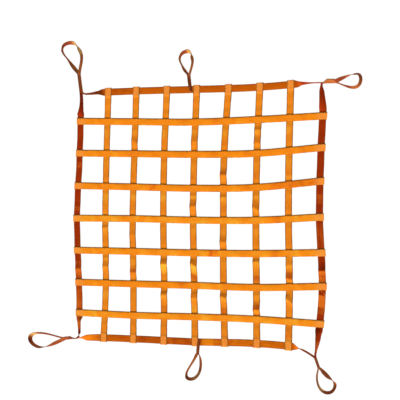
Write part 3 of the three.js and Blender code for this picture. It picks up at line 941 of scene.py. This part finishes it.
def sew(name, places, plan):
    """One mesh with the plan's stitches at each place: a stitch's own x, y and z go along it, beside it and
    out of the cloth."""
    origin, forward, outward = laid_out(places, plan)
    aside = np.cross(outward, forward)
    stitch = one_stitch()
    frames = np.stack([forward, aside, outward], axis=-2).reshape(-1, 3, 3)
    points = origin.reshape(-1, 1, 3) + stitch @ frames
    quads, caps = stitch_faces()
    first_corner = np.arange(len(points))[:, None, None] * len(stitch)
    faces = (quads + first_corner).reshape(-1, 4).tolist()
    faces += (caps + first_corner).reshape(-1, STITCH_CORNERS).tolist()
    piece = add_mesh(name, points.reshape(-1, 3), faces)
    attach(piece, "root")
    print(name, "has", len(points), "stitches and", len(faces), "faces")
    return piece


def flat_place(line, row, travel, height):
    """A place on level cloth: the line's point at a travel and height, its way and its left-hand side."""
    way = np.append(direction(line, row, travel), 0)
    return np.append(line(row, travel), height), way, left_of(way)


crossing_places = [
    flat_place(cross_line, cross_row, crossing(long_row, cross_row)[1], CROSSING_TOP)
    for cross_row in CROSS_STRAPS
    for long_row in LONG_STRAPS
]
end_places = [
    flat_place(long_line, row, crossing(row, BORDERS[side])[0], END_TOP)
    for row in LONG_STRAPS
    for side in ("top", "bottom")
]
end_places += [
    flat_place(cross_line, row, crossing(BORDERS[side], row)[1], END_TOP)
    for row in CROSS_STRAPS
    for side in ("left", "right")
]
stitch_pieces = [
    sew("crossing_stitches", crossing_places, box),
    sew("strap_end_stitches", end_places, box),
]

# %% Sewn stems of the eyes
STEM_BOX_LENGTH = 34
STEM_BOX_HEIGHT = 30
STEM_BOX_MARGIN = 6


def stem_places(row, plan):
    """For both outer faces of an eye's legs, a place for each stitch of the plan: the cloth at the stitch's
    own distance along the stem is tilted, so each place has its own up direction."""
    heading = along(row.heading)
    left = left_of(heading)
    up = np.array([0, 0, 1.0])
    middle = row.stem - STEM_BOX_LENGTH / 2 - STEM_BOX_MARGIN
    forward = middle + plan[0][:, 0]
    tilt = stem_tilt(row, forward)
    sine, cosine = sine_cosine(tilt)
    raised = up * cosine + left * sine
    places = []
    for side in (1, -1):
        height = middle_height(eye_lift(row, forward, side), ON_EDGE + tilt)[:, None]
        point = foot_of(row) + middle * heading + height * up
        point = point + (side * LEG_OFFSET + HALF_WIDTH * sine) * left
        point = point + side * WEB_THICK / 2 * (left * cosine - up * sine)
        places.append((point, np.broadcast_to(heading, point.shape), -side * raised))
    return places


stem_plan = box_seams(STEM_BOX_LENGTH, STEM_BOX_HEIGHT)
eye_places = [place for row in EYES for place in stem_places(row, stem_plan)]
stitch_pieces.append(sew("eye_stitches", eye_places, stem_plan))

# %% [markdown]
# ## Finishes
#
# All the webbing is one weave in several dyes, so the weave and the wear and painted shading are node
# groups that every finish shares. The weave draws lengthwise cords crossed by weft, from the strip's own
# across and along places, so it follows each bend. The wear and shading group gives three masks: the olive
# selvedge, which is partly painted shade along the edges, and the lighter and the darker parts that the
# tone makes with patches and lengthwise streaks of noise. The tone holds stains and wear, and also painted
# light and shade from the creases, the cells and many marks. The sewn mask tints the webbing where thread
# pulls it tight. Lengths in a material are metres.

# %% Weave group
CORD_PITCH = 0.0022
WEFT_PITCH = 0.0031
WEFT_SWING = 0.25
WEFT_MIDDLE = 0.75


def new_group(name, inputs, outputs):
    """An empty shader node group with named float or vector inputs and float outputs."""
    group = bpy.data.node_groups.new(name, "ShaderNodeTree")
    for socket, kind in inputs:
        group.interface.new_socket(socket, in_out="INPUT", socket_type=kind)
    for socket in outputs:
        group.interface.new_socket(socket, in_out="OUTPUT", socket_type="NodeSocketFloat")
    entry = group.nodes.new("NodeGroupInput")
    leave = group.nodes.new("NodeGroupOutput")
    return group, entry.outputs, leave.inputs


def feed(tree, socket, value):
    """Links a socket to an input, or sets the input to a number or colour."""
    if isinstance(value, bpy.types.NodeSocket):
        tree.links.new(value, socket)
    else:
        socket.default_value = value


def compute(tree, operation, *values):
    """A Math node of that operation on sockets or numbers."""
    node = tree.nodes.new("ShaderNodeMath")
    node.operation = operation
    for socket, value in zip(node.inputs, values):
        feed(tree, socket, value)
    return node.outputs[0]


def weave_group():
    """Height of the weave: round cords side by side, each crossed by weft that shifts half a pitch from cord
    to cord."""
    inputs = [("Across", "NodeSocketFloat"), ("Along", "NodeSocketFloat")]
    group, given, result = new_group("webbing weave", inputs, ["Height"])
    cords = compute(group, "DIVIDE", given["Across"], CORD_PITCH)
    cord = compute(group, "ABSOLUTE", compute(group, "SINE", compute(group, "MULTIPLY", cords, math.pi)))
    shift = compute(group, "MULTIPLY", compute(group, "FLOOR", cords), math.pi)
    picks = compute(group, "MULTIPLY", given["Along"], 2 * math.pi / WEFT_PITCH)
    weft = compute(group, "SINE", compute(group, "ADD", picks, shift))
    relief = compute(group, "MULTIPLY_ADD", weft, WEFT_SWING, WEFT_MIDDLE)
    feed(group, result["Height"], compute(group, "MULTIPLY", cord, relief))
    return group


WEAVE = weave_group()
print("weave group with", len(WEAVE.nodes), "nodes")

# %% Wear and shading group
SELVEDGE_FROM = 0.0160
SELVEDGE_FULL = 0.0232
STREAK_STRETCH = 8.0
STREAK_SHIFT = 0.02


def between(tree, value, low, high, to_low=0.0, to_high=1.0):
    """A smooth Map Range from low..high to another range."""
    node = tree.nodes.new("ShaderNodeMapRange")
    node.interpolation_type = "SMOOTHSTEP"
    names = ("Value", "From Min", "From Max", "To Min", "To Max")
    for name, number in zip(names, (value, low, high, to_low, to_high)):
        feed(tree, node.inputs[name], number)
    return node.outputs["Result"]


def noise(tree, vector, scale, detail=2.0):
    """Values of a noise texture at a vector."""
    node = tree.nodes.new("ShaderNodeTexNoise")
    node.inputs["Scale"].default_value = scale
    node.inputs["Detail"].default_value = detail
    tree.links.new(vector, node.inputs["Vector"])
    return node.outputs["Fac"]


def wander(tree, vector, scale, reach, detail=2.0):
    """Noise that wanders from -reach to reach."""
    return compute(tree, "MULTIPLY_ADD", noise(tree, vector, scale, detail), 2 * reach, -reach)


def wear_and_shading_group():
    """Masks of the selvedge and of lighter and darker cloth. The selvedge starts at a distance from the
    middle that noise makes uneven, and a lean makes it broader on the left-hand side; its darkness is partly
    painted shade. The tone, with patches of two sizes and streaks that are longer than wide added, is split
    at 0 into the lighter part, worn cloth and painted light, and the darker part, dirty cloth and painted
    shade."""
    inputs = [(name, "NodeSocketFloat") for name in ("Across", "Along", "Lean", "Tone")]
    inputs += [("Place", "NodeSocketVector")]
    group, given, result = new_group("webbing marks and painted shading", inputs, ["Edge", "Rubbed", "Soiled"])
    uneven = wander(group, given["Place"], scale=30.0, reach=0.005)
    distance = compute(group, "ADD", compute(group, "ABSOLUTE", given["Across"]), uneven)
    # the lean widens the edge on the left-hand side: on the cross straps, painted shadow along the upper
    # edge
    distance = compute(group, "MULTIPLY_ADD", given["Across"], given["Lean"], distance)
    feed(group, result["Edge"], between(group, distance, SELVEDGE_FROM, SELVEDGE_FULL))
    stretched = group.nodes.new("ShaderNodeCombineXYZ")
    feed(group, stretched.inputs["X"], given["Across"])
    feed(group, stretched.inputs["Y"], compute(group, "DIVIDE", given["Along"], STREAK_STRETCH))
    feed(group, stretched.inputs["Z"], compute(group, "MULTIPLY", given["Tone"], STREAK_SHIFT))
    streak = wander(group, stretched.outputs["Vector"], scale=110.0, reach=0.45)
    patch = wander(group, given["Place"], scale=11.0, reach=0.4, detail=3.0)
    fading = wander(group, given["Place"], scale=3.5, reach=0.3)
    tone = given["Tone"]
    for change in (streak, patch, fading):
        tone = compute(group, "ADD", tone, change)
    feed(group, result["Rubbed"], between(group, tone, 0.0, 1.0))
    feed(group, result["Soiled"], between(group, tone, 0.0, -1.0))
    return group


WEAR_AND_SHADING = wear_and_shading_group()
print("wear group with", len(WEAR_AND_SHADING.nodes), "nodes")

# %% Colours and new materials
OLIVE = (124, 80, 22)
MIX_FACTOR, MIX_FIRST, MIX_SECOND = 0, 6, 7
MIX_RESULT = 2


def linear(red, green, blue):
    """An sRGB colour from 0 to 255 as the linear colour that a shader takes."""
    srgb = np.array([red, green, blue]) / 255
    values = np.where(srgb <= 0.04045, srgb / 12.92, ((srgb + 0.055) / 1.055) ** 2.4)
    return (*values.tolist(), 1.0)


def mixed(tree, factor, first, second, blend="MIX"):
    """A colour mix of two colours or sockets. The node has sockets of the same names for numbers, vectors
    and colours, so those for colours are picked by their numbers."""
    node = tree.nodes.new("ShaderNodeMix")
    node.data_type = "RGBA"
    node.blend_type = blend
    for number, value in ((MIX_FACTOR, factor), (MIX_FIRST, first), (MIX_SECOND, second)):
        feed(tree, node.inputs[number], value)
    return node.outputs[MIX_RESULT]


def place_group(tree, group, **values):
    """A group node in a material, its inputs fed by name."""
    node = tree.nodes.new("ShaderNodeGroup")
    node.node_tree = group
    for name, value in values.items():
        feed(tree, node.inputs[name], value)
    return node.outputs


def attribute_of(tree, name):
    """The values of a piece's own attribute."""
    node = tree.nodes.new("ShaderNodeAttribute")
    node.attribute_name = name
    return node.outputs["Fac"]


def new_finish(name):
    """A material, its node tree, its shader's inputs, and the Object coordinates that place patterns."""
    material = bpy.data.materials.new(name)
    material.use_nodes = True
    tree = material.node_tree
    place = tree.nodes.new("ShaderNodeTexCoord").outputs["Object"]
    return material, tree, tree.nodes["Principled BSDF"].inputs, place


print("olive in linear light:", np.round(linear(*OLIVE), 3).tolist())

# %% Webbing finishes
SEWN_TINT = 0.3
CORD_SHADE = 0.35
VALLEY_SHADE = 0.71
VALLEY_ROUGHNESS = 0.85
CORD_ROUGHNESS = 0.6
WEAVE_STRENGTH = 0.5
WEAVE_DEPTH = 0.0006
WEBBING_GLOSS = 0.02
# The crosswise finishes, of the cross straps and of the top and bottom border, are lighter copies of the
# lengthwise ones: the difference is painted sheen. The rubbed colours are partly painted highlight and the
# soiled ones partly painted shade.
FINISHES = table(
    "name body rubbed soiled sewn edge edge_amount edge_lean",
    ("crosswise orange webbing with painted sheen", (255, 144, 22), (255, 178, 46),
     (228, 100, 20), (255, 165, 80), OLIVE, 0.78, 0.14),
    ("orange webbing", (241, 136, 28), (253, 180, 50),
     (204, 92, 22), (255, 165, 80), OLIVE, 0.78, 0.0),
    ("rust border webbing", (160, 48, 6), (226, 112, 28),
     (112, 26, 6), (160, 48, 6), OLIVE, 0.4, 0.0),
    ("crosswise rust webbing with painted sheen", (204, 94, 8), (244, 142, 18),
     (146, 42, 6), (204, 94, 8), OLIVE, 0.5, 0.0),
    ("eye webbing", (164, 84, 36), (208, 156, 86),
     (122, 44, 22), (212, 106, 60), (126, 84, 36), 0.7, 0.0),
)


def webbing_finish(name, body, rubbed, soiled, sewn, edge, edge_amount, edge_lean):
    """A webbing material: dyed body, lighter and darker parts that are partly wear and partly painted light
    and shade, sewn tint and a selvedge that is partly painted shade, over the weave.
    """
    material, tree, shader, place = new_finish(name)
    uv = tree.nodes.new("ShaderNodeUVMap")
    uv.uv_map = "across_along"
    split = tree.nodes.new("ShaderNodeSeparateXYZ")
    tree.links.new(uv.outputs["UV"], split.inputs["Vector"])
    strip = {"Across": split.outputs["X"], "Along": split.outputs["Y"]}
    weave = place_group(tree, WEAVE, **strip)
    wear_and_shading = place_group(tree, WEAR_AND_SHADING, Place=place, Lean=edge_lean, Tone=attribute_of(tree, "tone"), **strip)
    # lighter colour for worn cloth and for painted light, darker colour for dirt and for painted shade
    colour = mixed(tree, wear_and_shading["Rubbed"], linear(*body), linear(*rubbed))
    colour = mixed(tree, wear_and_shading["Soiled"], colour, linear(*soiled))
    tight = compute(tree, "MULTIPLY", attribute_of(tree, "sewn"), SEWN_TINT)
    colour = mixed(tree, tight, colour, linear(*sewn))
    # olive selvedge colour, partly painted shade along the rounded edges
    colour = mixed(tree, compute(tree, "MULTIPLY", wear_and_shading["Edge"], edge_amount), colour, linear(*edge))
    valley = compute(tree, "MULTIPLY_ADD", weave["Height"], CORD_SHADE, VALLEY_SHADE)
    feed(tree, shader["Base Color"], mixed(tree, 1.0, colour, valley, blend="MULTIPLY"))
    roughness = between(tree, weave["Height"], 0.0, 1.0, VALLEY_ROUGHNESS, CORD_ROUGHNESS)
    feed(tree, shader["Roughness"], roughness)
    bump = tree.nodes.new("ShaderNodeBump")
    bump.inputs["Strength"].default_value = WEAVE_STRENGTH
    bump.inputs["Distance"].default_value = WEAVE_DEPTH
    tree.links.new(weave["Height"], bump.inputs["Height"])
    tree.links.new(bump.outputs["Normal"], shader["Normal"])
    shader["Specular IOR Level"].default_value = WEBBING_GLOSS
    return material


CROSS_FINISH, LONG_FINISH, SIDE_FINISH, CROSSWISE_FINISH, EYE_FINISH = (
    webbing_finish(**vars(row)) for row in FINISHES
)
dyed = [(piece, CROSS_FINISH) for piece in cross_pieces]
dyed += [(piece, LONG_FINISH) for piece in long_pieces]
dyed += [(piece, EYE_FINISH) for piece in eye_pieces]
dyed += zip(border_pieces, (CROSSWISE_FINISH, SIDE_FINISH, CROSSWISE_FINISH, SIDE_FINISH))
for piece, finish in dyed:
    piece.data.materials.append(finish)
print("webbing finishes set on", len(dyed), "strips")

# %% [markdown]
# ## Thread
#
# Sewing thread is dyed near the webbing's colour, and each stitch takes the light a little differently. One
# plain colour would look printed, so a fine noise goes between two dyes and between two roughnesses.

# %% Thread finish
def thread_finish(name, light, dark):
    """Sewing thread: a dye that changes a little from stitch to stitch."""
    material, tree, shader, place = new_finish(name)
    tone = between(tree, noise(tree, place, scale=160.0), low=0.35, high=0.65)
    feed(tree, shader["Base Color"], mixed(tree, tone, linear(*light), linear(*dark)))
    grain = noise(tree, place, scale=900.0)
    roughness = between(tree, grain, low=0.3, high=0.7, to_low=0.45, to_high=0.65)
    feed(tree, shader["Roughness"], roughness)
    return material


THREADS = {
    "crossing_stitches": thread_finish("orange sewing thread", (255, 156, 40), (246, 136, 24)),
    "strap_end_stitches": thread_finish("pale sewing thread", (255, 178, 104), (255, 158, 80)),
    "eye_stitches": thread_finish("rust sewing thread", (168, 78, 36), (140, 54, 24)),
}
for piece in stitch_pieces:
    piece.data.materials.append(THREADS[piece.name])
print("thread finish on", len(stitch_pieces), "pieces")

# %% [markdown]
# ## Floor and light
#
# The net lies on a pale floor in soft light. The key light comes low from the picture's lower side, so each
# crease has a lit and a shaded flank, and its wide disc keeps shadows soft. A white sky fills the rest. The
# floor glows like a photographer's light table, which takes most of the net's shadow off it. Webbing that
# stands on its edge would still throw a shadow twice its height, so the border and the eyes cast none. The
# colours are shown without a film curve, because that curve would dull the orange.

# %% Floor
FLOOR_SIDE = 14000
FLOOR_DROP = 0.4
FLOOR_GLOW = 0.94
FLOOR_ROUGHNESS = 0.9
FLOOR_GLOSS = 0.1
LIGHT_GREY = (90, 90, 90)
DARK_GREY = (84, 84, 84)
WHITE = (255, 255, 255)


def add_floor():
    """A square under the net with a pale, faintly clouded finish, lit from within like a light table."""
    half = FLOOR_SIDE / 2
    corners = [(-half, -half), (half, -half), (half, half), (-half, half)]
    points = np.array([(x, y, -FLOOR_DROP) for x, y in corners])
    floor = add_mesh("floor", points, [[0, 1, 2, 3]], smooth=False)
    material, tree, shader, place = new_finish("pale floor")
    cloud = between(tree, noise(tree, place, scale=0.8), low=0.3, high=0.7)
    feed(tree, shader["Base Color"], mixed(tree, cloud, linear(*LIGHT_GREY), linear(*DARK_GREY)))
    shader["Emission Color"].default_value = linear(*WHITE)
    shader["Emission Strength"].default_value = FLOOR_GLOW
    shader["Roughness"].default_value = FLOOR_ROUGHNESS
    shader["Specular IOR Level"].default_value = FLOOR_GLOSS
    floor.data.materials.append(material)


add_floor()
print("floor", FLOOR_SIDE * MM, "m wide")

# %% Light
KEY_ELEVATION = math.radians(28)
KEY_STRENGTH = 4.5
KEY_WIDTH = math.radians(16)
SKY_STRENGTH = 0.4


def add_light():
    """A wide sun from the picture's lower side and an even white sky."""
    sun = bpy.data.lights.new("key_light", "SUN")
    sun.energy = KEY_STRENGTH
    sun.angle = KEY_WIDTH
    key = bpy.data.objects.new("key_light", sun)
    key.rotation_euler = (math.pi / 2 - KEY_ELEVATION, 0, 0)
    bpy.context.scene.collection.objects.link(key)
    world = bpy.data.worlds.new("studio")
    world.use_nodes = True
    sky = world.node_tree.nodes["Background"].inputs
    sky["Color"].default_value = linear(*WHITE)
    sky["Strength"].default_value = SKY_STRENGTH
    bpy.context.scene.world = world
    bpy.context.scene.view_settings.view_transform = "Standard"


add_light()
standing = eye_pieces + border_pieces
for piece in standing:
    piece.visible_shadow = False
print("key light", round(math.degrees(KEY_ELEVATION)), "degrees up,", len(standing), "pieces cast no shadow")
